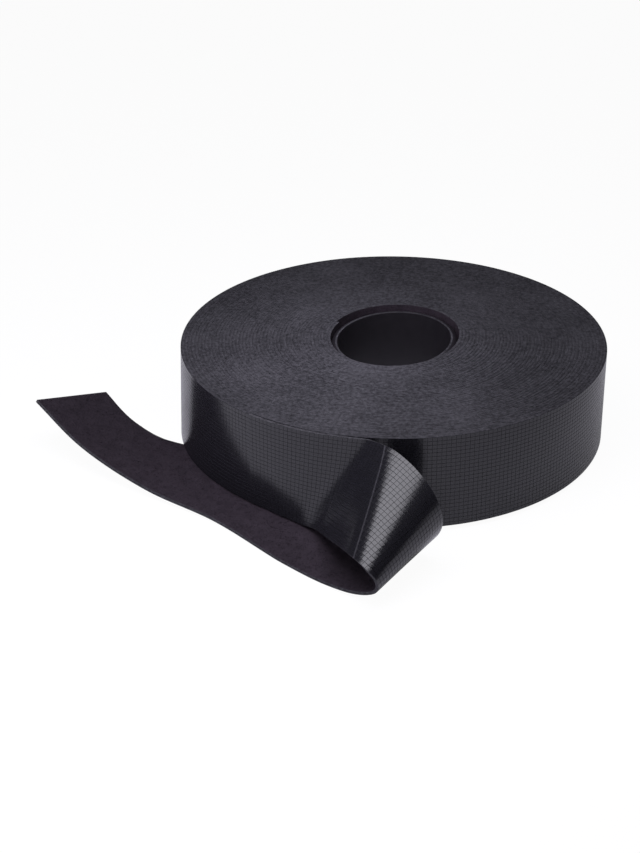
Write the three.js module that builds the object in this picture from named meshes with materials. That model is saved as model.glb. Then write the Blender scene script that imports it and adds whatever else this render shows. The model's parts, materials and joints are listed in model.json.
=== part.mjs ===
// A roll of two-faced hook and loop tape lying on its side: one long tape wound on a core tube,
// hooks outwards, with its free end peeled off at the front, folded back and tucked under the roll.
// Millimetres, +Z up, standing on z = 0.
import * as THREE from "three";

// The tape. A turn of the winding is as thick as the tape.
const TAPE_WIDTH = 25;
const HOOK_LAYER = 0.5;
const LOOP_LAYER = 0.4;

// What is left of each layer in the outer turns, where hooks and loops mesh into each other.
const HOOK_BACKING = 0.25;
const LOOP_BACKING = 0.2;

// The core tube that the tape starts on, and the adhesive strip that holds the tape's first end.
const CORE_BORE = 30;
const CORE_WALL = 1.8;
const CORE_CHAMFER = 0.3;
// How far the core's two ends lie inside the winding's flat faces.
const CORE_RECESS = 1.3;
const GLUE_LENGTH = 20;
const GLUE_WIDTH = 19;
const GLUE_CLEARANCE = 0.05;

// The winding: many inner turns as one plain ring, and the outer turns as a wound tape.
const INNER_TURNS = 39;
const OUTER_TURNS = 4;
const TURN_STEPS = 48;
const TURN_GAP_LEAST = 0.4;

// Where the outer turn comes off the roll, as an angle round the core.
const PEEL_ANGLE = THREE.MathUtils.degToRad(-110.5);

// Clearances: between touching pieces, and across the lines where the free end hinges.
const SEAT_GAP = 0.3;
const HINGE_GAP = 0.3;

const tapeThickness = HOOK_LAYER + LOOP_LAYER;
const rollBase = tapeThickness + SEAT_GAP;
const coreInner = CORE_BORE / 2;
const coreOuter = coreInner + CORE_WALL;
const ringInner = coreOuter + SEAT_GAP;
const ringOuter = ringInner + INNER_TURNS * tapeThickness;
const outerTurnsInner = ringOuter + SEAT_GAP;
const outerTurnsOuter = outerTurnsInner + OUTER_TURNS * tapeThickness + LOOP_BACKING + HOOK_BACKING;
// The free tape follows the seam between its two layers: on the roll, and lying hooks down.
const peelRadius = outerTurnsOuter + SEAT_GAP + LOOP_LAYER;
const lyingHeight = HOOK_LAYER;

// The route of the free tape as the photograph shows it. Each station has a place on the tape's lower
// edge, which becomes the near edge on the floor, and the place across from it on the other edge.
// A place is a point, [along the roll's tangent at the peel line, outwards from the roll, up from the
// floor], or, while that edge lies on the roll, how far round the roll from the peel line it is.
const ROUTE_TAPE_WIDTH = 25;
const PEELED_LEAF = [
  { lower: -18, upper: -18 },
  { lower: -14, upper: -12.5 },
  { lower: [-10.0, -0.4, 1.2], upper: -7 },
  { lower: [-5.0, 1.2, 1.2], upper: 2 },
  { lower: [-1.0, 2.6, 1.3], upper: 10 },
  { lower: [3.2, 5.0, 2.4], upper: [14.6, -1.6, 26.2] },
  { lower: [9.3, 12.0, 5.5], upper: [16.8, -0.9, 26.4] },
  { lower: [15.5, 19.0, 8.6], upper: [19.0, 0.0, 26.6] },
  { lower: [21.0, 25.2, 11.0], upper: [21.6, 1.0, 26.6] },
  { lower: [24.4, 27.6, 11.0], upper: [25.2, 2.6, 25.9] },
  { lower: [26.4, 28.6, 10.3], upper: [29.3, 4.2, 24.0] },
  { lower: [27.8, 28.6, 9.0], upper: [33.9, 5.7, 19.6] },
  { lower: [28.5, 28.1, 6.7], upper: [35.7, 5.2, 13.5] },
];
const FLOOR_RUN = [
  { lower: [27.6, 27.2, 4.5], upper: [34.2, 3.4, 8.2] },
  { lower: [25.1, 26.3, 2.8], upper: [30.6, 1.4, 4.0] },
  { lower: [20.6, 25.0, 1.4], upper: [25.2, -0.6, 1.1] },
  { lower: [12.5, 22.4, lyingHeight], upper: [16.0, -3.0, lyingHeight] },
  { lower: [8.5, 21.1, lyingHeight], upper: [-2.0, -12.0, lyingHeight] },
  { lower: [-0.3, 17.6, lyingHeight], upper: [-37.6, -23.6, lyingHeight] },
  { lower: [-22.7, 7.4, 1.0], upper: [-53.6, -25.6, lyingHeight] },
];
const LIFTED_END = [
  { lower: [-44.4, 2.3, 2.5], upper: [-60.1, -27.6, 1.0] },
  { lower: [-66.3, -4.2, 7.0], upper: [-67.2, -30.2, 2.7] },
];
const TIP = [{ lower: [-83.0, -10.9, 13.6], upper: [-75.6, -34.1, 6.4] }];
const STEPS_PER_STATION = 4;
const SLOPE_STEP = 1e-3;

const HOOK_FACE = { color: 0x1d1d21, roughness: 0.45, metalness: 0 };
const LOOP_FACE = { color: 0x1b191d, roughness: 0.95, metalness: 0 };
const WOUND_EDGE = { color: 0x242428, roughness: 0.9, metalness: 0 };
const CORE_FACE = { color: 0x17171a, roughness: 0.7, metalness: 0 };
const GLUE_FACE = { color: 0x8a8270, roughness: 0.6, metalness: 0 };

const roll = new THREE.Group();

function addPiece(name, geometry, finish) {
  const mesh = new THREE.Mesh(geometry, new THREE.MeshStandardMaterial(finish));
  mesh.name = name;
  roll.add(mesh);
  return mesh;
}

// A closed ring round the core, with its facets' corners on the peel line.
function ringGeometry(inner, outer, bottom, top, chamfer) {
  const profile = [
    [inner + chamfer, bottom],
    [outer - chamfer, bottom],
    [outer, bottom + chamfer],
    [outer, top - chamfer],
    [outer - chamfer, top],
    [inner + chamfer, top],
    [inner, top - chamfer],
    [inner, bottom + chamfer],
    [inner + chamfer, bottom],
  ].map(([radius, height]) => new THREE.Vector2(radius, height));
  const distinct = profile.filter((p, i) => i === 0 || !p.equals(profile[i - 1]));
  const geometry = new THREE.LatheGeometry(distinct, TURN_STEPS);
  geometry.rotateX(Math.PI / 2);
  geometry.rotateZ(PEEL_ANGLE + Math.PI / 2);
  return geometry;
}

// One layer of tape as a closed solid. A row is a line across the tape, with the direction out of its
// hook face at each end. The layer lies between two distances from the rows along that direction.
function layerGeometry(rows, from, to) {
  const points = rows.flatMap(({ lower, upper, lowerOut, upperOut }) => [
    lower.clone().addScaledVector(lowerOut, from),
    lower.clone().addScaledVector(lowerOut, to),
    upper.clone().addScaledVector(upperOut, to),
    upper.clone().addScaledVector(upperOut, from),
  ]);
  const faces = [];
  const last = 4 * (rows.length - 1);
  faces.push([0, 1, 2], [0, 2, 3]);
  faces.push([last, last + 2, last + 1], [last, last + 3, last + 2]);
  for (let k = 0; k < last; k += 4) {
    const next = k + 4;
    faces.push([k, next + 1, k + 1], [k, next, next + 1]);
    faces.push([k + 1, next + 2, k + 2], [k + 1, next + 1, next + 2]);
    faces.push([k + 2, next + 3, k + 3], [k + 2, next + 2, next + 3]);
    faces.push([k + 3, next + 3, k], [k, next + 3, next]);
  }
  const geometry = new THREE.BufferGeometry().setFromPoints(points);
  geometry.setIndex(faces.flat());
  return geometry;
}

// Rows round the core from one angle to another, at a radius that depends on the turns made so far.
function rowsRoundCore(firstAngle, lastAngle, steps, radiusAt, bottom, top) {
  return Array.from({ length: steps + 1 }, (_, i) => {
    const angle = firstAngle + ((lastAngle - firstAngle) * i) / steps;
    const radius = radiusAt((angle - firstAngle) / (2 * Math.PI));
    const out = new THREE.Vector3(Math.cos(angle), Math.sin(angle), 0);
    const lower = out.clone().multiplyScalar(radius).setZ(bottom);
    const upper = lower.clone().setZ(top);
    return { lower, upper, lowerOut: out, upperOut: out };
  });
}

// The least distance between neighbouring turns, from the hook face of one to the loop face of the next.
function leastTurnGap(rows, thickness) {
  let least = Infinity;
  for (let i = 0; i + TURN_STEPS < rows.length; i++) {
    const hookFace = rows[i].lower.clone().addScaledVector(rows[i].lowerOut, thickness);
    const inNextTurn = rows.slice(i + TURN_STEPS - 1, i + TURN_STEPS + 2);
    inNextTurn.forEach((row) => (least = Math.min(least, hookFace.distanceTo(row.lower))));
  }
  return least;
}

// A place of the route in the roll's frame. On the roll it is at the height of its edge there.
function place(spot, heightOnRoll) {
  if (!Array.isArray(spot)) {
    const angle = PEEL_ANGLE + spot / peelRadius;
    const out = new THREE.Vector3(Math.cos(angle), Math.sin(angle), 0);
    return out.multiplyScalar(peelRadius).setZ(heightOnRoll);
  }
  const [along, outwards, up] = spot;
  const cos = Math.cos(PEEL_ANGLE);
  const sin = Math.sin(PEEL_ANGLE);
  const radius = peelRadius + outwards;
  return new THREE.Vector3(radius * cos - along * sin, radius * sin + along * cos, up);
}

// A station of the route, with its ruling as long as the tape is wide.
function station({ lower, upper }) {
  const low = place(lower, rollBase);
  const across = place(upper, rollBase + ROUTE_TAPE_WIDTH).sub(low);
  across.multiplyScalar(TAPE_WIDTH / ROUTE_TAPE_WIDTH);
  return { lower: low, upper: low.clone().add(across) };
}

// The free tape as rows across it, from where it laps the roll to its cut end.
const stations = [...PEELED_LEAF, ...FLOOR_RUN, ...LIFTED_END, ...TIP].map(station);
const leafEnd = PEELED_LEAF.length - 1;
const liftLine = leafEnd + FLOOR_RUN.length;
const tipLine = liftLine + LIFTED_END.length;
const cutEnd = tipLine + TIP.length;

const lowerEdge = new THREE.CatmullRomCurve3(stations.map((s) => s.lower));
const upperEdge = new THREE.CatmullRomCurve3(stations.map((s) => s.upper));

// Where the tape lies on the floor, its seam is no lower than the lying height.
function keptOffFloor(row) {
  [row.lower, row.upper].forEach((point) => point.setZ(Math.max(point.z, lyingHeight)));
  return row;
}

function routeRow(position) {
  const share = position / cutEnd;
  const [before, after] = [Math.max(0, share - SLOPE_STEP), Math.min(1, share + SLOPE_STEP)];
  const lower = lowerEdge.getPoint(share);
  const upper = upperEdge.getPoint(share);
  const across = upper.clone().sub(lower);
  const outOf = (edge) => {
    const along = edge.getPoint(after).sub(edge.getPoint(before));
    return along.cross(across).normalize();
  };
  return keptOffFloor({ lower, upper, lowerOut: outOf(lowerEdge), upperOut: outOf(upperEdge) });
}

// The same row moved along the tape, square to its own line, to open half a hinge's gap.
function shifted(row, distance) {
  const across = row.upper.clone().sub(row.lower).normalize();
  const move = across.clone().cross(row.lowerOut.clone().add(row.upperOut).normalize());
  move.normalize().multiplyScalar(distance);
  return keptOffFloor({ ...row, lower: row.lower.clone().add(move), upper: row.upper.clone().add(move) });
}

function routeRows(first, last, { hingeAtStart = false, hingeAtEnd = false } = {}) {
  const count = (last - first) * STEPS_PER_STATION;
  const rows = Array.from({ length: count + 1 }, (_, i) => routeRow(first + i / STEPS_PER_STATION));
  if (hingeAtStart) rows[0] = shifted(rows[0], HINGE_GAP / 2);
  if (hingeAtEnd) rows[count] = shifted(rows[count], -HINGE_GAP / 2);
  return rows;
}

function addFreeTape(name, rows) {
  addPiece(name + "_hook_layer", layerGeometry(rows, 0, HOOK_LAYER), HOOK_FACE);
  addPiece(name + "_loop_layer", layerGeometry(rows, -LOOP_LAYER, 0), LOOP_FACE);
}

// The core tube and the adhesive strip on it.
const rollTop = rollBase + TAPE_WIDTH;
const [coreBottom, coreTop] = [rollBase + CORE_RECESS, rollTop - CORE_RECESS];
addPiece("core_tube", ringGeometry(coreInner, coreOuter, coreBottom, coreTop, CORE_CHAMFER), CORE_FACE);
const glueInner = coreOuter + GLUE_CLEARANCE;
const glueThickness = SEAT_GAP - 2 * GLUE_CLEARANCE;
const facet = (2 * Math.PI) / TURN_STEPS;
const glueSteps = Math.max(1, Math.round(GLUE_LENGTH / (coreOuter * facet)));
const glueEnd = PEEL_ANGLE + glueSteps * facet;
const glueBottom = rollBase + (TAPE_WIDTH - GLUE_WIDTH) / 2;
const glueTop = glueBottom + GLUE_WIDTH;
const glueRows = rowsRoundCore(PEEL_ANGLE, glueEnd, glueSteps, () => glueInner, glueBottom, glueTop);
addPiece("core_adhesive_strip", layerGeometry(glueRows, 0, glueThickness), GLUE_FACE);

// The inner turns as a plain ring, and the outer turns wound over it up to the peel line.
addPiece("inner_turns", ringGeometry(ringInner, ringOuter, rollBase, rollTop, 0), WOUND_EDGE);
const turnRadius = (turns) => outerTurnsInner + turns * tapeThickness;
const turnsStart = PEEL_ANGLE - 2 * Math.PI * OUTER_TURNS;
const turnSteps = OUTER_TURNS * TURN_STEPS;
const turnRows = rowsRoundCore(turnsStart, PEEL_ANGLE, turnSteps, turnRadius, rollBase, rollTop);
const backing = LOOP_BACKING + HOOK_BACKING;
addPiece("outer_turns_loop_layer", layerGeometry(turnRows, 0, LOOP_BACKING), LOOP_FACE);
addPiece("outer_turns_hook_layer", layerGeometry(turnRows, LOOP_BACKING, backing), HOOK_FACE);
const turnGap = leastTurnGap(turnRows, backing);
console.log("least gap between the outer turns:", turnGap.toFixed(2), "mm, over", TURN_GAP_LEAST);

// The free tape: the leaf peeled off the roll, its run on the floor, the end that lifts and its tip.
addFreeTape("peeled_leaf", routeRows(0, leafEnd));
addFreeTape("floor_run", routeRows(leafEnd, liftLine, { hingeAtEnd: true }));
addFreeTape("lifted_end", routeRows(liftLine, tipLine, { hingeAtStart: true, hingeAtEnd: true }));
addFreeTape("end_tip", routeRows(tipLine, cutEnd, { hingeAtStart: true }));

// The part's origin is the middle of its footprint, on the floor.
const box = new THREE.Box3().setFromObject(roll);
const middle = box.getCenter(new THREE.Vector3()).setZ(box.min.z);
roll.children.forEach((mesh) => mesh.position.sub(middle));

export default roll;
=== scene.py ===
# %% [markdown]
# # A roll of hook and loop tape
# The real thing is one long black tape on a plastic core. The tape has two faces: a moulded plastic
# sheet full of tiny hooks, which is the outside of the roll, and a knitted sheet with a pile of
# loops. So this lesson makes the tape the way a factory does: flat, with its hooks and loops on it,
# and then winds it. One function lays flat tape round the core, and another lays it along the free
# end's route.

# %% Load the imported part
import bpy
import json
import math
import numpy as np
from mathutils import Matrix, Vector


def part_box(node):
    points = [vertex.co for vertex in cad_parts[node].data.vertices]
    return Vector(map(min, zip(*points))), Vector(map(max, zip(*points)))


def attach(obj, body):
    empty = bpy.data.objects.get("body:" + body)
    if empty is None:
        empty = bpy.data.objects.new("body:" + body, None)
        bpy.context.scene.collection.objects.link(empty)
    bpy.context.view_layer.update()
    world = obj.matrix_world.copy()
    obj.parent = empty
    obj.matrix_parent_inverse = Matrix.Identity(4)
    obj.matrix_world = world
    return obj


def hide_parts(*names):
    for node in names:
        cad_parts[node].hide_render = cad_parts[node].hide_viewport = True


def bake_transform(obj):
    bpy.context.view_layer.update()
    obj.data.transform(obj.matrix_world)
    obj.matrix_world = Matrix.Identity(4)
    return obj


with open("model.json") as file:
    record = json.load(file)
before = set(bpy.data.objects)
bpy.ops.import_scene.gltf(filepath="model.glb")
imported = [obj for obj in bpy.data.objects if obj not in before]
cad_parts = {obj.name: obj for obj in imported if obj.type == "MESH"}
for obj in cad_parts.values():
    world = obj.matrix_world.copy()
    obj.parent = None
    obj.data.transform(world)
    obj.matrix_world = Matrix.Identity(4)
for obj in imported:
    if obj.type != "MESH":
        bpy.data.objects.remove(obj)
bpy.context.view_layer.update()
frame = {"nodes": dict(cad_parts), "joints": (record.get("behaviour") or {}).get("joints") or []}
MM = 0.001
core_low, core_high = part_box("core_tube")
turns_low, turns_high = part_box("inner_turns")
AXIS = (core_low + core_high) / 2
BASE, TOP = turns_low.z, turns_high.z
TAPE_WIDTH = TOP - BASE
print("roll axis at", [round(v / MM, 2) for v in AXIS], "mm")
print("tape", round(TAPE_WIDTH / MM, 2), "mm wide")

# %% [markdown]
# ## The camera
# The picture was taken from in front of the roll and above it. A camera could be set by eye, but the
# roll's two rims are circles of one size, and a camera fitted to how they look in the photograph is
# right for everything else as well. Its place is measured from the roll's axis, at the height of its
# base. The way it looks and the picture's own right make its rotation.

# %% Place the camera
CAMERA_FROM_AXIS = Vector((-0.35, -426.1, 226.3)) * MM
LOOK = Vector((-0.0403, 0.8809, -0.4717))
PICTURE_RIGHT = Vector((0.9991, 0.0415, -0.0078))
FOCAL_LENGTH = 74.8

camera_data = bpy.data.cameras.new("camera")
camera_data.lens = FOCAL_LENGTH
camera = bpy.data.objects.new("camera", camera_data)
bpy.context.collection.objects.link(camera)
picture_up = PICTURE_RIGHT.cross(LOOK)
turned = Matrix((PICTURE_RIGHT, picture_up, -LOOK)).transposed().to_4x4()
stands_at = Vector((AXIS.x, AXIS.y, BASE)) + CAMERA_FROM_AXIS
camera.matrix_world = Matrix.Translation(stands_at) @ turned
bpy.context.scene.camera = camera
print("camera", round((camera.location - AXIS).length, 3), "m from the roll")

# %% [markdown]
# ## Where flat tape goes on the roll
# Flat tape is drawn with x along it, y across it from its lower edge, and z out of its hook face. The
# seam between its two layers is z = 0, and x = 0 is where the free end leaves the roll. A stack of
# rings would be simpler, but a real winding is one spiral that grows by one thickness of tape in each
# turn, and its end shows. So the angle for a length x is the root of a quadratic. No winding is
# perfect: the outermost turn is loose shortly before the free end and stands off at its lower edge,
# and the core sits askew, so that it and the turns next to it stand out at the back right.

# %% Wind flat tape round the core
TURN_PITCH = 0.9 * MM
SEAM_AT_PEEL = 56.3 * MM
FIRST_SEAM = 17.4 * MM
PEEL_ANGLE = math.radians(-110.5)
CAD_PEEL_RADIUS = 57.25 * MM
# The wound tape ends this far round the roll from the peel line, and the free end goes on there.
WOUND_END = -18 * MM
WOUND_END_ANGLE = PEEL_ANGLE + WOUND_END / CAD_PEEL_RADIUS
WOUND_LENGTH = math.pi * (SEAM_AT_PEEL**2 - FIRST_SEAM**2) / TURN_PITCH
LOOSE_AT, LOOSE_REACH, LOOSE_FLARE = -42 * MM, 38 * MM, 0.9 * MM
ASKEW_TOWARDS, ASKEW_RISE, ASKEW_REACH = math.radians(50), 2.2 * MM, 38 * MM


def askew(radius, angle):
    """How far the winding stands up at this radius and angle, most next to the core."""
    near = np.clip(1 - (radius - FIRST_SEAM) / ASKEW_REACH, 0, 1) ** 2
    return ASKEW_RISE * near * (1 + np.cos(angle - ASKEW_TOWARDS)) / 2


def on_roll(flat):
    """Where points of the flat tape go on the wound roll."""
    along, across, out = flat.T
    root = np.sqrt(SEAM_AT_PEEL**2 + TURN_PITCH * along / math.pi)
    angle = WOUND_END_ANGLE + (root - SEAM_AT_PEEL) * 2 * math.pi / TURN_PITCH
    loose = np.clip(1 - ((along - LOOSE_AT) / LOOSE_REACH) ** 2, 0, 1) ** 2
    radius = root + out + LOOSE_FLARE * loose * (1 - across / TAPE_WIDTH)
    up = BASE + across + askew(root, angle)
    return np.stack([AXIS.x + radius * np.cos(angle), AXIS.y + radius * np.sin(angle), up], 1)


turn_count = (SEAM_AT_PEEL - FIRST_SEAM) / TURN_PITCH
print("wound tape", round(WOUND_LENGTH, 2), "m in", round(turn_count, 1), "turns")

# %% [markdown]
# ## Where flat tape goes on the free end
# The free end peels off the roll, rises as a leaf, folds back over a cone and lies loop side up on
# the floor, tucked under the roll, until its end curls up. A cloth simulation would find a shape of
# its own, and this one has to be the photograph's. So it is given by stations: each is a straight
# line across the bent surface, from the tape's lower edge to its other edge. Tape bends but doesn't
# stretch, so a point of the flat tape goes to the line with the right length of edge before it.

# %% List the free end's stations
# One number is a place still on the roll, in mm round it from the peel line. Three numbers are along
# the roll's tangent at the peel line, outwards from the roll there, and up from the floor.
STATIONS = [
    (-18, -18),
    (-14, -12.5),
    ((-10.0, -0.4, 1.2), -7),
    ((-5.0, 1.2, 1.2), 2),
    ((-1.0, 2.6, 1.3), 10),
    ((3.2, 5.0, 2.4), (14.6, -1.6, 26.2)),
    ((9.3, 12.0, 5.5), (16.8, -0.9, 26.4)),
    ((15.5, 19.0, 8.6), (19.0, 0.0, 26.6)),
    ((21.0, 25.2, 11.0), (21.6, 1.0, 26.6)),
    ((24.4, 27.6, 11.0), (25.2, 2.6, 25.9)),
    ((26.4, 28.6, 10.3), (29.3, 4.2, 24.0)),
    ((27.8, 28.6, 9.0), (33.9, 5.7, 19.6)),
    ((28.5, 28.1, 6.7), (35.7, 5.2, 13.5)),
    ((27.6, 27.2, 4.5), (34.2, 3.4, 8.2)),
    ((25.1, 26.3, 2.8), (30.6, 1.4, 4.0)),
    ((20.6, 25.0, 1.4), (25.2, -0.6, 1.1)),
    ((12.5, 22.4, 0.5), (16.0, -3.0, 0.5)),
    ((8.5, 21.1, 0.5), (-2.0, -12.0, 0.5)),
    ((-0.3, 17.6, 0.5), (-37.6, -23.6, 0.5)),
    ((-22.7, 7.4, 1.0), (-53.6, -25.6, 0.5)),
    ((-44.4, 2.3, 2.5), (-60.1, -27.6, 1.0)),
    ((-66.3, -4.2, 7.0), (-67.2, -30.2, 2.7)),
    ((-83.0, -10.9, 13.6), (-75.6, -34.1, 6.4)),
]
# From the first of these stations to the second, the leaf leaves the roll and reaches the fold.
LEAVES_ROLL, FOLDS = 4, 10
TANGENT = Vector((-math.sin(PEEL_ANGLE), math.cos(PEEL_ANGLE), 0))
OUTWARDS = Vector((math.cos(PEEL_ANGLE), math.sin(PEEL_ANGLE), 0))


def edge_point(spot, height_on_roll, number):
    """Where an edge of the tape is at a station, on the roll or off it."""
    if isinstance(spot, tuple):
        along, outwards, up = (value * MM for value in spot)
        foot = Vector((AXIS.x, AXIS.y, up))
        # This winding is a little tighter than the CAD one, and the leaf's root goes in with it.
        radius = np.interp(number, (LEAVES_ROLL, FOLDS), (SEAM_AT_PEEL, CAD_PEEL_RADIUS))
        return foot + OUTWARDS * (radius + outwards) + TANGENT * along
    angle = PEEL_ANGLE + spot * MM / CAD_PEEL_RADIUS
    radius = SEAM_AT_PEEL + TURN_PITCH * (angle - WOUND_END_ANGLE) / (2 * math.pi)
    x, y = AXIS.x + radius * math.cos(angle), AXIS.y + radius * math.sin(angle)
    return Vector((x, y, height_on_roll))


lower_points = [edge_point(lower, BASE, n) for n, (lower, upper) in enumerate(STATIONS)]
upper_points = [edge_point(upper, TOP, n) for n, (lower, upper) in enumerate(STATIONS)]
print(len(STATIONS), "stations along the free end")

# %% Join the stations by smooth edges
ROWS_PER_STATION = 150
HOOK_LAYER = 0.5 * MM


def smooth_edge(points):
    """A smooth curve through all the points that doesn't overshoot them, as rows of points."""
    points = np.array(points)
    around = np.vstack([2 * points[0] - points[1], points, 2 * points[-1] - points[-2]])
    step = np.sqrt(np.linalg.norm(np.diff(around, axis=0), axis=1))[:, None]
    share = np.linspace(0, 1, ROWS_PER_STATION, endpoint=False)[:, None]
    rows = []
    for k in range(len(points) - 1):
        before, start, end, after = around[k : k + 4]
        first, middle, last = step[k : k + 3]
        slope_in = (start - before) / first - (end - before) / (first + middle)
        slope_out = (after - end) / last - (after - start) / (middle + last)
        leave = slope_in * middle + end - start
        arrive = end - start + slope_out * middle
        bend = 3 * (end - start) - 2 * leave - arrive
        settle = 2 * (start - end) + leave + arrive
        rows.append(start + leave * share + bend * share**2 + settle * share**3)
    rows.append(points[-1:])
    joined = np.vstack(rows)
    # The tape lies hooks down, so its seam is never lower than the hook layer is thick.
    joined[:, 2] = np.maximum(joined[:, 2], HOOK_LAYER)
    return joined


def out_of_hooks(edge):
    """The way that the hook face looks, for each row of an edge."""
    out = np.cross(np.gradient(edge, axis=0), upper_edge - lower_edge)
    return out / np.linalg.norm(out, axis=1)[:, None]


def lengths_along(edge):
    return np.concatenate([[0], np.cumsum(np.linalg.norm(np.diff(edge, axis=0), axis=1))])


lower_edge, upper_edge = smooth_edge(lower_points), smooth_edge(upper_points)
lower_out, upper_out = out_of_hooks(lower_edge), out_of_hooks(upper_edge)
lower_length, upper_length = lengths_along(lower_edge), lengths_along(upper_edge)
FREE_LENGTH = (lower_length[-1] + upper_length[-1]) / 2
print("free end", round(FREE_LENGTH / MM, 1), "mm long, in", len(lower_edge), "rows")

# %% Lay flat tape along the free end
ACROSS_LEVELS = 51
LENGTH_STEPS = 2001
shares = np.linspace(0, 1, ACROSS_LEVELS)
grid_lengths = np.linspace(0, FREE_LENGTH, LENGTH_STEPS)
row_numbers = np.arange(len(lower_edge))
levels = [lower_length + share * (upper_length - lower_length) for share in shares]
row_at = np.array(
    [np.interp(grid_lengths, level * FREE_LENGTH / level[-1], row_numbers) for level in levels]
)


def between(table, position):
    """The table's rows at these positions, which may lie between two rows."""
    low = np.clip(np.floor(position).astype(int), 0, len(table) - 2)
    part = (position - low)[:, None]
    return table[low] * (1 - part) + table[low + 1] * part


def on_free_end(flat):
    """Where points of the flat tape go on the free end."""
    along, across, out = flat.T
    level = np.clip(across / TAPE_WIDTH, 0, 1) * (ACROSS_LEVELS - 1)
    column = np.clip(along / FREE_LENGTH, 0, 1) * (LENGTH_STEPS - 1)
    i = np.minimum(level.astype(int), ACROSS_LEVELS - 2)
    j = np.minimum(column.astype(int), LENGTH_STEPS - 2)
    a, b = level - i, column - j
    left = row_at[i, j] * (1 - a) + row_at[i + 1, j] * a
    right = row_at[i, j + 1] * (1 - a) + row_at[i + 1, j + 1] * a
    row = left * (1 - b) + right * b
    share = (across / TAPE_WIDTH)[:, None]
    seam = between(lower_edge, row) * (1 - share) + between(upper_edge, row) * share
    normal = between(lower_out, row) * (1 - share) + between(upper_out, row) * share
    normal /= np.linalg.norm(normal, axis=1)[:, None]
    return seam + normal * out[:, None]


print("a table of", row_at.shape, "rows says which line each place of the flat tape is on")

# %% [markdown]
# ## Helpers for modelling by hand
# Operators act on whatever is selected, so each piece starts with nothing selected. A face is picked
# by its direction or place. When a flat piece is done, `lay` moves its vertices to where the tape
# goes, and keeps the flat place of each point as a UV map in millimetres, for patterns that follow
# the tape. A Curve modifier could bend a flat piece too, but not over a cone.

# %% Pick and repeat
MERGE_DISTANCE = 1e-6


def start_piece():
    if bpy.context.object and bpy.context.object.mode != "OBJECT":
        bpy.ops.object.mode_set(mode="OBJECT")
    bpy.ops.object.select_all(action="DESELECT")


def name_piece(name):
    piece = bpy.context.object
    piece.name = piece.data.name = name
    return piece


def pick_nothing(kind):
    bpy.ops.object.mode_set(mode="EDIT")
    bpy.ops.mesh.select_mode(type=kind)
    bpy.ops.mesh.select_all(action="DESELECT")
    bpy.ops.object.mode_set(mode="OBJECT")
    return bpy.context.object.data


def pick_faces(test):
    for face in pick_nothing("FACE").polygons:
        face.select = test(face)
    bpy.ops.object.mode_set(mode="EDIT")


def pick_edges(test):
    mesh = pick_nothing("EDGE")
    for edge in mesh.edges:
        edge.select = bool(test(*(mesh.vertices[v].co for v in edge.vertices)))
    bpy.ops.object.mode_set(mode="EDIT")


def repeat(piece, count, offset, merge=False):
    array = piece.modifiers.new("repeat", "ARRAY")
    array.count = count
    array.use_relative_offset = False
    array.use_constant_offset = True
    array.constant_offset_displace = offset
    array.use_merge_vertices = merge
    array.merge_threshold = MERGE_DISTANCE
    bpy.ops.object.modifier_apply(modifier=array.name)


# %% Move, lay and smooth


def flat_points(piece):
    flat = np.empty(len(piece.data.vertices) * 3)
    piece.data.vertices.foreach_get("co", flat)
    return flat.reshape(-1, 3)


def move_points(piece, points):
    coordinates = np.ascontiguousarray(points, dtype=np.float32).ravel()
    piece.data.vertices.foreach_set("co", coordinates)
    piece.data.update()


def shift_flat(piece, distance):
    points = flat_points(piece)
    points[:, 0] += distance
    move_points(piece, points)


def lay(piece, place):
    flat = flat_points(piece)
    corners = np.empty(len(piece.data.loops), dtype=np.int32)
    piece.data.loops.foreach_get("vertex_index", corners)
    uv = piece.data.uv_layers.get("tape") or piece.data.uv_layers.new(name="tape")
    uv.data.foreach_set("uv", (flat[corners, :2] / MM).astype(np.float32).ravel())
    move_points(piece, place(flat))
    return piece


def smooth(piece, degrees=40):
    start_piece()
    piece.select_set(True)
    bpy.context.view_layer.objects.active = piece
    bpy.ops.object.shade_smooth_by_angle(angle=math.radians(degrees))


def triangles(piece):
    return sum(len(face.vertices) - 2 for face in piece.data.polygons)


# %% [markdown]
# ## Shader maths
# A finish could be wired node by node, which is long to read. Here a small class wraps a node's
# output, so that a finish reads as a formula. Anything else comes from its `node` method, which takes
# a node's type, its settings and its inputs.

# %% A socket that does sums
# A Mix node has sockets for numbers, vectors and colours. These are the ones for colours.
MIX_FROM, MIX_TO, MIX_RESULT = 6, 7, 2


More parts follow.
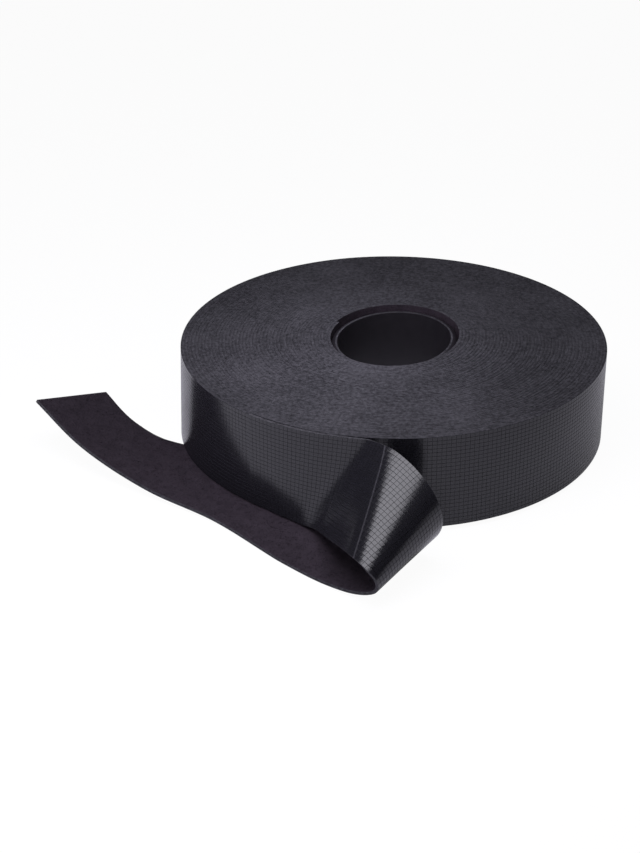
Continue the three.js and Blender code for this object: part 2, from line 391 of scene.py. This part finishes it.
class Value:
    def __init__(self, tree, socket):
        self.tree, self.socket = tree, socket

    def node(self, kind, settings=None, output=0, **inputs):
        """Any node, its inputs given by name, or as i0, i1 and so on by number."""
        made = self.tree.nodes.new(kind)
        for key, setting in (settings or {}).items():
            setattr(made, key, setting)
        for key, given in inputs.items():
            by_number = key[0] == "i" and key[1:].isdigit()
            target = made.inputs[int(key[1:]) if by_number else key]
            if isinstance(given, Value):
                self.tree.links.new(given.socket, target)
            else:
                target.default_value = given
        return Value(self.tree, made.outputs[output])

    def math(self, operation, a, b):
        return self.node("ShaderNodeMath", {"operation": operation}, i0=a, i1=b)

    def __add__(self, other):
        return self.math("ADD", self, other)

    def __radd__(self, other):
        return self.math("ADD", other, self)

    def __sub__(self, other):
        return self.math("SUBTRACT", self, other)

    def __rsub__(self, other):
        return self.math("SUBTRACT", other, self)

    def __mul__(self, other):
        return self.math("MULTIPLY", self, other)

    def __rmul__(self, other):
        return self.math("MULTIPLY", other, self)

    def mix(self, low, high):
        """A colour from low to high as this value goes from 0 to 1."""
        blend = self.node("ShaderNodeMix", {"data_type": "RGBA"}, output=MIX_RESULT, Factor=self)
        inputs = blend.socket.node.inputs
        inputs[MIX_FROM].default_value = (*low, 1)
        inputs[MIX_TO].default_value = (*high, 1)
        return blend

    def blend(self, colour, other):
        """A varying colour that goes over to another one as this value goes from 0 to 1."""
        mixed = self.mix((0, 0, 0), other)
        self.tree.links.new(colour.socket, mixed.socket.node.inputs[MIX_FROM])
        return mixed

    def clamp(self):
        return self.node("ShaderNodeClamp", Value=self)


# %% Start a finish and feed its shader


def new_material(name):
    material = bpy.data.materials.new(name)
    material.use_nodes = True
    tree = material.node_tree
    shader = tree.nodes["Principled BSDF"]
    place = Value(tree, tree.nodes.new("ShaderNodeTexCoord").outputs["Object"])
    return material, shader, place


def feed(shader, **values):
    for name, value in values.items():
        target = shader.inputs[name.replace("_", " ")]
        if isinstance(value, Value):
            value.tree.links.new(value.socket, target)
        else:
            target.default_value = value


def noise(place, size, detail=3.0, roughness=0.6):
    """Cloudy noise from 0 to 1, whose blobs are about this many metres across."""
    settings = {"Scale": 1 / size, "Detail": detail, "Roughness": roughness}
    return place.node("ShaderNodeTexNoise", Vector=place, **settings)


def bump(place, height, distance, strength=1.0):
    return place.node("ShaderNodeBump", Height=height, Distance=distance, Strength=strength)


# %% [markdown]
# ## Hook plastic
# The hook sheet is black moulded plastic with a soft gloss, so it mirrors the pale floor and the dark
# tail in blurred bands. Bands could be painted on, but those would stay behind when the roll turns,
# so they are left to the gloss: the heads are nearly smooth and the sheet between them is dull. One
# thin pale line across the leaf just before the fold is painted all the same: it is a painted
# reflection of a narrow light. It is drawn on the flat tape's own map, so it bends with the tape.

# %% Hook plastic
# Where the painted reflection line crosses the flat tape, how wide it is, and its colour.
REFLECTION_LINE_LOWER, REFLECTION_LINE_UPPER = 53.0 * MM, 37.6 * MM
REFLECTION_LINE_HALF_WIDTH_IN_MM = 1 / 3
PAINTED_REFLECTION_COLOUR = (0.052, 0.050, 0.058)
HEAD_DARK, HEAD_LIGHT = (0.0100, 0.0096, 0.0125), (0.0145, 0.0140, 0.0180)
SHEET_DARK, SHEET_LIGHT = (0.0110, 0.0105, 0.0135), (0.0150, 0.0145, 0.0180)
HEAD_ROUGHNESS, SHEET_ROUGHNESS, CLOUDED_ROUGHNESS = 0.16, 0.55, 0.08
CLOUD_SIZE, GRAIN_SIZE, GRAIN_DEPTH = 4 * MM, 0.25 * MM, 0.006 * MM


def hook_plastic(name, dark, light, roughness):
    material, shader, place = new_material(name)
    clouds = noise(place, CLOUD_SIZE)
    grain = noise(place, GRAIN_SIZE, detail=2.0)
    flat = place.node("ShaderNodeUVMap", {"uv_map": "tape"})
    along = flat.node("ShaderNodeSeparateXYZ", output=0, Vector=flat)
    across = flat.node("ShaderNodeSeparateXYZ", output=1, Vector=flat)
    reflection_line_slant = (REFLECTION_LINE_UPPER - REFLECTION_LINE_LOWER) / TAPE_WIDTH
    from_reflection_line = along - (across * reflection_line_slant + REFLECTION_LINE_LOWER / MM)
    # A painted reflection: a thin pale line across the leaf, standing in for a mirrored narrow light.
    painted_reflection_line = (1 - from_reflection_line * from_reflection_line * (1 / REFLECTION_LINE_HALF_WIDTH_IN_MM**2)).clamp()
    feed(
        shader,
        Base_Color=painted_reflection_line.blend(clouds.mix(dark, light), PAINTED_REFLECTION_COLOUR),
        Roughness=roughness + clouds * CLOUDED_ROUGHNESS,
        Normal=bump(place, grain, GRAIN_DEPTH),
    )
    return material


HOOK_PLASTIC = hook_plastic("hook_plastic", HEAD_DARK, HEAD_LIGHT, HEAD_ROUGHNESS)
HOOK_SHEET = hook_plastic("hook_sheet", SHEET_DARK, SHEET_LIGHT, SHEET_ROUGHNESS)
print("finishes of the hook side:", HOOK_PLASTIC.name, HOOK_SHEET.name)

# %% [markdown]
# ## Loop pile
# The loop side is a knitted pile, dull and a little warm. Its loops are modelled further on, but they
# are so fine that much of what the eye takes for pile is patches of light and dark between them. So
# the finish has two noises, one at the size of such patches and one at the size of a fibre.

# %% Loop pile
PILE_DARK, PILE_LIGHT = (0.011, 0.0078, 0.0118), (0.045, 0.0350, 0.0465)
PATCH_SIZE, FIBRE_SIZE, FIBRE_DEPTH = 3 * MM, 0.3 * MM, 0.15 * MM
PATCH_CONTRAST, FIBRE_CONTRAST, PILE_DARKENING = 0.8, 1.2, 0.5


def loop_pile():
    material, shader, place = new_material("loop_pile")
    patches = noise(place, PATCH_SIZE, detail=4.0)
    fibres = noise(place, FIBRE_SIZE, detail=3.0)
    shade = (patches * PATCH_CONTRAST + fibres * FIBRE_CONTRAST - PILE_DARKENING).clamp()
    feed(
        shader,
        Base_Color=shade.mix(PILE_DARK, PILE_LIGHT),
        Roughness=0.95,
        Specular_IOR_Level=0.2,
        Normal=bump(place, fibres, FIBRE_DEPTH),
    )
    return material


LOOP_PILE = loop_pile()
print("finish of the loop side:", LOOP_PILE.name)

# %% [markdown]
# ## Cut edges
# Where the tape is cut, the ends of its fibres scatter more light and look greyer. The roll's flat
# faces are nothing but such edges, side by side. Rings of colour could be drawn there, but the turns
# are modelled one by one and make their own rings, so the finish only needs flecks. The free end's
# edges stand open to the light and catch it, and that light is painted: they get a lighter pair of
# colours.

# %% Cut edges
EDGE_DARK, EDGE_LIGHT = (0.0145, 0.0140, 0.0170), (0.0600, 0.0580, 0.0675)
# Painted light: the free end's edges get a lighter pair of colours for the light that they catch.
PAINTED_LIT_EDGE_DARK, PAINTED_LIT_EDGE_LIGHT = (0.0210, 0.0203, 0.0235), (0.0680, 0.0660, 0.0750)
AREA_SIZE, FLECK_SIZE, FLECK_DEPTH = 20 * MM, 1.0 * MM, 0.2 * MM
AREA_CONTRAST, FLECK_CONTRAST, EDGE_DARKENING = 0.8, 2.8, 1.35


def cut_edge(name, dark, light):
    material, shader, place = new_material(name)
    areas = noise(place, AREA_SIZE, detail=2.0)
    flecks = noise(place, FLECK_SIZE, detail=4.0, roughness=0.75)
    shade = (areas * AREA_CONTRAST + flecks * FLECK_CONTRAST - EDGE_DARKENING).clamp()
    feed(
        shader,
        Base_Color=shade.mix(dark, light),
        Roughness=0.9,
        Specular_IOR_Level=0.3,
        Normal=bump(place, flecks, FLECK_DEPTH),
    )
    return material


CUT_EDGE = cut_edge("cut_edge", EDGE_DARK, EDGE_LIGHT)
PAINTED_LIT_EDGE = cut_edge("painted_lit_edge", PAINTED_LIT_EDGE_DARK, PAINTED_LIT_EDGE_LIGHT)
print("finishes of the edges:", CUT_EDGE.name, PAINTED_LIT_EDGE.name)

# %% [markdown]
# ## Core plastic and adhesive
# The core is a plain black moulding, scuffed inside by spindles and fingers, which shows as small
# changes of gloss. The film that holds the tape's first end on it is clear and yellowish, a little
# streaky. It is hidden in the finished roll, but it gets a finish too, for whoever takes the roll
# apart.

# %% Core plastic and adhesive
CORE_DARK, CORE_LIGHT = (0.0070, 0.0060, 0.0080), (0.0130, 0.0115, 0.0145)
SCUFF_SIZE, SCUFF_DEPTH = 2 * MM, 0.03 * MM
CORE_ROUGHNESS, SCUFFED_ROUGHNESS = 0.45, 0.2
FILM_DARK, FILM_LIGHT = (0.42, 0.38, 0.28), (0.55, 0.50, 0.38)
STREAK_SIZE = 1.5 * MM
FILM_ROUGHNESS, STREAKED_ROUGHNESS = 0.3, 0.2


def core_plastic():
    material, shader, place = new_material("core_plastic")
    scuffs = noise(place, SCUFF_SIZE, detail=5.0)
    feed(
        shader,
        Base_Color=scuffs.mix(CORE_DARK, CORE_LIGHT),
        Roughness=CORE_ROUGHNESS + scuffs * SCUFFED_ROUGHNESS,
        Specular_IOR_Level=0.25,
        Normal=bump(place, scuffs, SCUFF_DEPTH),
    )
    return material


def adhesive_film():
    material, shader, place = new_material("adhesive_film")
    streaks = noise(place, STREAK_SIZE)
    feed(
        shader,
        Base_Color=streaks.mix(FILM_DARK, FILM_LIGHT),
        Roughness=FILM_ROUGHNESS + streaks * STREAKED_ROUGHNESS,
    )
    return material


CORE_PLASTIC, ADHESIVE_FILM = core_plastic(), adhesive_film()
print("finishes of the core:", CORE_PLASTIC.name, ADHESIVE_FILM.name)

# %% [markdown]
# ## A stretch of flat tape layer
# A layer is a thin bar. It could be one long cube cut many times, but ten metres of tape need
# thousands of cuts. So a cube at the size of one short slice loses its two end faces and gets its
# long edges bevelled, an Array modifier repeats it along the tape, and the two open ends are filled.

# %% Model a layer of tape
LAYER_BEVEL = 0.06 * MM
# How much of its normal has to point one way before a face counts as facing that way.
FACING = 0.9
EDGE_FACING = 0.5


def tape_layer(name, length, slice_length, low, high, cuts_across=0):
    start_piece()
    count = max(1, round(length / slice_length))
    step = length / count
    middle = (step / 2, TAPE_WIDTH / 2, (low + high) / 2)
    bpy.ops.mesh.primitive_cube_add(size=1, location=middle)
    piece = name_piece(name)
    piece.scale = (step, TAPE_WIDTH, high - low)
    bpy.ops.object.transform_apply(location=True, rotation=False, scale=True)
    pick_faces(lambda face: abs(face.normal.x) > FACING)
    bpy.ops.mesh.delete(type="FACE")
    pick_edges(lambda a, b: abs(a.x - b.x) > step / 2)
    bpy.ops.mesh.bevel(offset=LAYER_BEVEL, segments=1)
    if cuts_across:
        pick_edges(lambda a, b: abs(a.y - b.y) > TAPE_WIDTH / 2)
        bpy.ops.mesh.subdivide(number_cuts=cuts_across)
    bpy.ops.object.mode_set(mode="OBJECT")
    repeat(piece, count, (step, 0, 0), merge=True)
    bpy.ops.object.mode_set(mode="EDIT")
    bpy.ops.mesh.select_all(action="SELECT")
    bpy.ops.mesh.fill_holes(sides=0)
    bpy.ops.mesh.normals_make_consistent(inside=False)
    bpy.ops.object.mode_set(mode="OBJECT")
    return piece


def finish_layer(piece, finish, edge_finish):
    """The layer's own finish on its two faces, and cut fibres along its edges."""
    piece.data.materials.append(finish)
    piece.data.materials.append(edge_finish)
    for face in piece.data.polygons:
        face.material_index = int(abs(face.normal.y) > EDGE_FACING)


# %% [markdown]
# ## The wound tape
# The roll shows the edges of some forty turns. Each layer is made at its full length, ten metres of
# flat tape, and wound. Rings in a bump map would vanish at the rim, and real turns don't. No winding
# is quite even, so each edge wanders up and down by a few hundredths of a millimetre along the tape,
# which makes the fine rings on the flat faces uneven.

# %% Wind the two layers
HOOK_BACKING = 0.25 * MM
PILE_DEPTH = 0.62 * MM
WOUND_SLICE = 2.2 * MM
WANDER_SPACING, WANDER = 14 * MM, 0.04 * MM
SEED = 7
chance = np.random.default_rng(SEED)


def wander(piece):
    points = flat_points(piece)
    first, last = points[:, 0].min(), points[:, 0].max()
    knots = np.arange(first, last + WANDER_SPACING, WANDER_SPACING)
    for edge in (points[:, 1] < TAPE_WIDTH / 2, points[:, 1] > TAPE_WIDTH / 2):
        rises = chance.uniform(-WANDER, WANDER, len(knots))
        points[edge, 1] += np.interp(points[edge, 0], knots, rises)
    move_points(piece, points)


def put_on_roll(piece):
    lay(piece, on_roll)
    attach(piece, "roll")
    print(piece.name, triangles(piece), "triangles")
    return piece


def wound_layer(name, low, high, finish, slot, *nodes):
    piece = tape_layer(name, WOUND_LENGTH, WOUND_SLICE, low, high)
    shift_flat(piece, -WOUND_LENGTH)
    finish_layer(piece, finish, CUT_EDGE)
    wander(piece)
    smooth(put_on_roll(piece))
    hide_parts(*nodes)


HOOK_NODES = "outer_turns_hook_layer", "inner_turns"
wound_layer("wound_hook_layer", 0, HOOK_BACKING, HOOK_SHEET, "hook_face", *HOOK_NODES)
wound_layer(
    "wound_loop_layer", -PILE_DEPTH, 0, LOOP_PILE, "wound_edge", "outer_turns_loop_layer"
)

# %% [markdown]
# ## The free end's layers
# The tape is slack here, not pressed by the turns above it, so both layers are a little thicker
# than on the roll.

# %% Lay the two layers of the free end
HOOK_STEP_IN_MM = 1.17
SPLIT_STEPS = 140
STRETCH_SPLIT = SPLIT_STEPS * HOOK_STEP_IN_MM * MM
FREE_SLICE, FREE_CUTS_ACROSS = 1.0 * MM, 11
LOOP_BACKING = 0.38 * MM
FREE_HOOK_BACKING = 0.40 * MM
# How far before and after each hinge line a point is found.
LIFT_BEND, CURL_BEND = (3 * MM, 0.95 * MM), (2.5 * MM, 3 * MM)
joints = {joint["name"]: joint for joint in frame["joints"]}


def across_hinge(name, before, after):
    """Two points either side of a hinge line, in the way that the free tape runs there."""
    pivot = Vector(joints[name]["pos_m"])
    onwards = Vector((0, 0, 1)).cross(Vector(joints[name]["axis"])).normalized()
    return pivot - onwards * before, pivot + onwards * after


STRETCHES = {"fold": (0, STRETCH_SPLIT), "tail": (STRETCH_SPLIT, FREE_LENGTH)}
BENDS = {
    "fold": ("free_end", "tail_end", *across_hinge("tail_lift", *LIFT_BEND)),
    "tail": ("tail_end", "tape_tip", *across_hinge("tip_curl", *CURL_BEND)),
}


def put_on_free_end(piece, stretch, slot):
    body, next_body, before, after = BENDS[stretch]
    lay(piece, on_free_end)
    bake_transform(piece)
    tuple(before)
    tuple(after)
    print(piece.name, triangles(piece), "triangles")
    return piece


def free_layer(stretch, kind, low, high, finish, slot, *nodes):
    start, end = STRETCHES[stretch]
    name = f"{stretch}_{kind}_layer"
    piece = tape_layer(name, end - start, FREE_SLICE, low, high, FREE_CUTS_ACROSS)
    shift_flat(piece, start)
    # The free end's edges take the lighter colours of painted light.
    finish_layer(piece, finish, PAINTED_LIT_EDGE)
    smooth(put_on_free_end(piece, stretch, slot))
    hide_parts(*[f"{node}_{kind}_layer" for node in nodes])


for kind, low, high, finish, slot in (
    ("hook", 0, FREE_HOOK_BACKING, HOOK_SHEET, "hook_face"),
    ("loop", -LOOP_BACKING, 0, LOOP_PILE, "loop_face"),
):
    free_layer("fold", kind, low, high, finish, slot, "peeled_leaf", "floor_run")
    free_layer("tail", kind, low, high, finish, slot, "lifted_end", "end_tip")

# %% [markdown]
# ## Hooks
# The hook sheet is covered with a plain grid of tiny flat-topped heads, about one in each square
# millimetre. Their tops together act as a dark mirror, crossed by the fine dark lines between them. A
# bump map could draw the lines, but not the small steps along the leaf's edge. One head is a thin
# block whose top is extruded and drawn in, cut along the tape where it has to bend, and two Array
# modifiers make the field.

# %% Model a field of hooks
HOOK_ROWS = 24
HOOK_ROW_PITCH = 1.04 * MM
HOOK_STEP = HOOK_STEP_IN_MM * MM
HOOK_LENGTH, HOOK_WIDTH = 1.10 * MM, 0.95 * MM
HOOK_STEM, HOOK_HEAD = 0.02 * MM, 0.04 * MM
HEAD_DRAWN_IN = 0.985
HEAD_SMOOTHING = 25
HOOK_MARGIN = (TAPE_WIDTH - HOOK_ROWS * HOOK_ROW_PITCH) / 2


def model_hook(name, cuts):
    start_piece()
    middle = (HOOK_STEP / 2, HOOK_ROW_PITCH / 2, HOOK_STEM / 2)
    bpy.ops.mesh.primitive_cube_add(size=1, location=middle)
    hook = name_piece(name)
    hook.scale = (HOOK_LENGTH, HOOK_WIDTH, HOOK_STEM)
    bpy.ops.object.transform_apply(location=True, rotation=False, scale=True)
    pick_faces(lambda face: face.normal.z < -FACING)
    bpy.ops.mesh.delete(type="FACE")
    if cuts:
        pick_edges(lambda a, b: abs(a.x - b.x) > HOOK_LENGTH / 2)
        bpy.ops.mesh.subdivide(number_cuts=cuts)
    pick_faces(lambda face: face.normal.z > FACING)
    bpy.ops.mesh.extrude_region_move(TRANSFORM_OT_translate={"value": (0, 0, HOOK_HEAD)})
    bpy.ops.transform.resize(value=(HEAD_DRAWN_IN, HEAD_DRAWN_IN, 1))
    bpy.ops.object.mode_set(mode="OBJECT")
    return hook


def hook_field(name, first, last, backing, cuts=0):
    """Hooks from one step along the tape to another."""
    field = model_hook(name, cuts)
    smooth(field, HEAD_SMOOTHING)
    repeat(field, HOOK_ROWS, (0, HOOK_ROW_PITCH, 0))
    repeat(field, last - first, (HOOK_STEP, 0, 0))
    move_points(field, flat_points(field) + (0, HOOK_MARGIN, backing))
    shift_flat(field, first * HOOK_STEP)
    field.data.materials.append(HOOK_PLASTIC)
    return field


# %% Put the hooks on the wall and the free end
WALL_STEPS = int(2 * math.pi * SEAM_AT_PEEL / HOOK_STEP)
FREE_STEPS = int(FREE_LENGTH / HOOK_STEP)
FREE_HOOK_CUTS = 2
put_on_roll(hook_field("wall_hooks", -WALL_STEPS, 0, HOOK_BACKING))
# The last column of hooks before the split is made with the tail's hooks.
FOLD_STEPS = SPLIT_STEPS - 1
for stretch, first, last in (("fold", 0, FOLD_STEPS), ("tail", FOLD_STEPS, FREE_STEPS)):
    hooks = hook_field(f"{stretch}_hooks", first, last, FREE_HOOK_BACKING, FREE_HOOK_CUTS)
    put_on_free_end(hooks, stretch, "hook_face")

# %% [markdown]
# ## Loops
# The pile is thousands of fine loops that stand and lean every way. A particle system could scatter
# them, but its copies wouldn't bend with the tape at the hinges. So one loop is half of a thin
# torus, and its copies are spread over the flat tape, each turned, leaned and sized by chance, and
# then laid with it.

# %% Model a loop
LOOP_RADIUS, LOOP_YARN = 0.24 * MM, 0.035 * MM
LOOP_FOOT = 0.01 * MM


def model_loop(name):
    start_piece()
    bpy.ops.mesh.primitive_torus_add(
        major_segments=8,
        minor_segments=3,
        major_radius=LOOP_RADIUS,
        minor_radius=LOOP_YARN,
        rotation=(math.pi / 2, 0, 0),
    )
    loop = name_piece(name)
    bpy.ops.object.transform_apply(location=False, rotation=True, scale=False)
    bpy.ops.object.mode_set(mode="EDIT")
    bpy.ops.mesh.select_all(action="SELECT")
    bpy.ops.mesh.bisect(plane_co=(0, 0, LOOP_FOOT), plane_no=(0, 0, 1), clear_inner=True)
    bpy.ops.object.mode_set(mode="OBJECT")
    return loop


def scatter(piece, places, turns, leans, sizes):
    """Copies of a small piece at these places, each turned about z, leaned about x and sized."""
    one = flat_points(piece)
    faces = [list(face.vertices) for face in piece.data.polygons]
    leaned_y = one[:, 1] * np.cos(leans)[:, None] - one[:, 2] * np.sin(leans)[:, None]
    leaned_z = one[:, 1] * np.sin(leans)[:, None] + one[:, 2] * np.cos(leans)[:, None]
    x = one[:, 0] * np.cos(turns)[:, None] - leaned_y * np.sin(turns)[:, None]
    y = one[:, 0] * np.sin(turns)[:, None] + leaned_y * np.cos(turns)[:, None]
    copies = np.stack([x, y, leaned_z], 2) * sizes[:, None, None] + places[:, None]
    mesh = bpy.data.meshes.new(piece.name)
    all_faces = [[v + k * len(one) for v in face] for k in range(len(places)) for face in faces]
    mesh.from_pydata(copies.reshape(-1, 3), [], all_faces)
    old = piece.data
    piece.data = mesh
    bpy.data.meshes.remove(old)
    return piece


LOOPS_PER_MM2 = 1.5
LOOP_MARGIN = 0.3 * MM
# A loop leans up to this many radians either way, and is this many times its plain size.
LOOP_LEAN = 0.9
LOOP_SIZES = 0.6, 1.1

for stretch, (start, end) in STRETCHES.items():
    count = int((end - start) * TAPE_WIDTH / MM**2 * LOOPS_PER_MM2)
    along = chance.uniform(start + LOOP_MARGIN, end - LOOP_MARGIN, count)
    across = chance.uniform(LOOP_MARGIN, TAPE_WIDTH - LOOP_MARGIN, count)
    turns = chance.uniform(0, 2 * math.pi, count)
    leans = chance.uniform(-LOOP_LEAN, LOOP_LEAN, count)
    sizes = chance.uniform(*LOOP_SIZES, count)
    places = np.stack([along, across, np.full(count, LOOP_BACKING)], 1)
    loops = scatter(model_loop(f"{stretch}_loops"), places, turns, leans, sizes)
    # They were made standing up, and the loop side is the tape's underside.
    move_points(loops, flat_points(loops) * (1, 1, -1))
    loops.data.flip_normals()
    loops.data.materials.append(LOOP_PILE)
    put_on_free_end(loops, stretch, "loop_face")

# %% [markdown]
# ## The core
# The core is a plain plastic tube, a little shorter than the tape is wide. It could be a profile
# spun round, or a cylinder with a hole cut by a second one, but insets keep the faces clean: a
# cylinder's caps are inset by the wall's thickness, the inner discs go, and the two holes are
# bridged. Its rims are bevelled, the outer ones more, which leaves the dark groove between the
# pale flat rim and the tape. Then it is tipped askew, as the turns next to it are.

# %% Model the core tube
CORE_WALL = 1.8 * MM
CORE_SIDES = 96
RIM_BEVEL, GROOVE_BEVEL, BEVEL_STEPS = 0.15 * MM, 1.2 * MM, 3
SAME_HEIGHT, SAME_RADIUS = 1e-6, 1e-5
core_radius = (core_high.x - core_low.x) / 2


def on_rim(radius):
    """A test for the edges that run round the core at this radius."""

    def test(a, b):
        off = [abs((end.xy - AXIS.xy).length - radius) for end in (a, b)]
        return abs(a.z - b.z) < SAME_HEIGHT and max(off) < SAME_RADIUS

    return test


start_piece()
core_length = core_high.z - core_low.z
bpy.ops.mesh.primitive_cylinder_add(
    vertices=CORE_SIDES, radius=core_radius, depth=core_length, location=AXIS
)
core = name_piece("moulded_core")
bpy.ops.object.transform_apply(location=True, rotation=False, scale=False)
pick_faces(lambda face: abs(face.normal.z) > FACING)
bpy.ops.mesh.inset(thickness=CORE_WALL)
bpy.ops.mesh.bridge_edge_loops()
for rim, rim_bevel in ((core_radius, GROOVE_BEVEL), (core_radius - CORE_WALL, RIM_BEVEL)):
    pick_edges(on_rim(rim))
    bpy.ops.mesh.bevel(offset=rim_bevel, segments=BEVEL_STEPS)
bpy.ops.object.mode_set(mode="OBJECT")
print("core", triangles(core), "triangles")

# %% Finish the core and its adhesive
FLAT_RIM_FACING = 0.99
core.data.materials.append(CORE_PLASTIC)
core.data.materials.append(CUT_EDGE)
# The core's flat rims take the paler cut-edge finish, so they show as a pale ring.
for face in core.data.polygons:
    face.material_index = int(abs(face.normal.z) > FLAT_RIM_FACING)
points = flat_points(core)
from_axis_x, from_axis_y = points[:, 0] - AXIS.x, points[:, 1] - AXIS.y
points[:, 2] += askew(np.hypot(from_axis_x, from_axis_y), np.arctan2(from_axis_y, from_axis_x))
move_points(core, points)
smooth(core)
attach(core, "roll")
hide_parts("core_tube")
adhesive = frame["nodes"]["core_adhesive_strip"]
adhesive.data.materials.clear()
adhesive.data.materials.append(ADHESIVE_FILM)
print("core rises", round((points[:, 2].max() - core_high.z) / MM, 2), "mm at the back right")

# %% [markdown]
# ## The floor
# The photograph's background is plain white. A floor bright enough to be white would throw too much
# light on a black roll, so this one is only pale. It glows for the camera, and a little in
# reflections, and what is left of its own colour keeps the roll's shadow.

# %% Lay the floor
FLOOR_SIZE = 8
FLOOR_COLOUR = (0.85, 0.835, 0.91, 1)
FLOOR_SEEN, FLOOR_MIRRORED, FLOOR_GLOW = 0.93, 0.16, 1.03


def white_floor():
    material, shader, _ = new_material("white_floor")
    feed(shader, Base_Color=FLOOR_COLOUR, Roughness=0.9, Specular_IOR_Level=0.0)
    tree = material.node_tree
    rays = tree.nodes.new("ShaderNodeLightPath").outputs
    seen, glossy, passed = (
        Value(tree, rays[f"Is {kind} Ray"]) for kind in ("Camera", "Glossy", "Transmission")
    )
    glows = (seen * FLOOR_SEEN + (glossy + passed) * FLOOR_MIRRORED).clamp()
    white = tree.nodes.new("ShaderNodeEmission")
    feed(white, Strength=FLOOR_GLOW)
    both = tree.nodes.new("ShaderNodeMixShader")
    tree.links.new(glows.socket, both.inputs[0])
    tree.links.new(shader.outputs[0], both.inputs[1])
    tree.links.new(white.outputs[0], both.inputs[2])
    tree.links.new(both.outputs[0], tree.nodes["Material Output"].inputs["Surface"])
    return material


start_piece()
bpy.ops.mesh.primitive_plane_add(size=FLOOR_SIZE, location=(0, 0, 0))
floor = name_piece("floor")
floor.data.materials.append(white_floor())
print("floor", FLOOR_SIZE, "m wide")

# %% [markdown]
# ## Lamps and world
# Black plastic shows little but what it mirrors. One wide softbox over the roll, a little to the
# left, is seen in the plastic and gives the bright band on the fold. Two more lamps aren't mirrored:
# a fill from the left for the tail, and a narrow spot for the middle of the flat top. The world is
# white to the camera and gives only a faint light from all round.

# %% Hang the lamps
LAMP_COLOUR = (1.0, 0.985, 1.07)
FOOT_OF_AXIS = Vector((AXIS.x, AXIS.y, 0))
SOFTBOX_WIDTH, SOFTBOX_DEPTH, SOFTBOX_RADIANCE = 0.245, 0.126, 5.0
SOFTBOX_PLACE = Vector((-0.0275, -0.073, 0.22))
FILL_SIZE, FILL_RADIANCE = 0.2, 3.0
FILL_PLACE, FILL_TARGET = Vector((-0.26, -0.2, 0.13)), Vector((-0.07, -0.09, 0))
SPOT_ENERGY, SPOT_ANGLE, SPOT_BLEND, SPOT_SIZE = 4.4, math.radians(17), 1.0, 0.03
SPOT_PLACE, SPOT_TARGET = Vector((-0.06, -0.09, 0.3)), Vector((-0.014, -0.014, TOP))


def hang_lamp(name, kind, place, target=None, **settings):
    """A lamp at a place measured from the foot of the roll's axis.

    One with no target hangs straight down, and is the only one that the plastic mirrors.
    """
    light = bpy.data.lights.new(name, kind)
    for key, setting in settings.items():
        setattr(light, key, setting)
    light.color = LAMP_COLOUR
    lamp = bpy.data.objects.new(name, light)
    lamp.location = FOOT_OF_AXIS + place
    lamp.visible_camera = False
    if target is not None:
        lamp.rotation_euler = (target - place).to_track_quat("-Z", "Y").to_euler()
        lamp.visible_glossy = False
    bpy.context.collection.objects.link(lamp)
    print(name, round(light.energy, 2), "W")


hang_lamp(
    "softbox",
    "AREA",
    SOFTBOX_PLACE,
    shape="RECTANGLE",
    size=SOFTBOX_WIDTH,
    size_y=SOFTBOX_DEPTH,
    energy=SOFTBOX_RADIANCE * math.pi * SOFTBOX_WIDTH * SOFTBOX_DEPTH,
)
hang_lamp(
    "side_fill",
    "AREA",
    FILL_PLACE,
    FILL_TARGET,
    size=FILL_SIZE,
    energy=FILL_RADIANCE * math.pi * FILL_SIZE**2,
)
hang_lamp(
    "top_spot",
    "SPOT",
    SPOT_PLACE,
    SPOT_TARGET,
    energy=SPOT_ENERGY,
    spot_size=SPOT_ANGLE,
    spot_blend=SPOT_BLEND,
    shadow_soft_size=SPOT_SIZE,
)

# %% Light the world
WORLD_LIGHT, WORLD_SEEN, WORLD_MIRRORED = 0.05, 1.0, 0.02
world = bpy.data.worlds.new("studio")
world.use_nodes = True
bpy.context.scene.world = world
world_tree = world.node_tree
rays = world_tree.nodes.new("ShaderNodeLightPath").outputs
seen, mirrored = (Value(world_tree, rays[f"Is {kind} Ray"]) for kind in ("Camera", "Glossy"))
more_seen, more_mirrored = WORLD_SEEN - WORLD_LIGHT, WORLD_MIRRORED - WORLD_LIGHT
strength = seen * more_seen + mirrored * more_mirrored + WORLD_LIGHT
feed(world_tree.nodes["Background"], Color=(1, 1, 1, 1), Strength=strength)
bpy.context.scene.view_settings.view_transform = "Standard"
print("world gives", WORLD_LIGHT, "and shows", WORLD_SEEN)
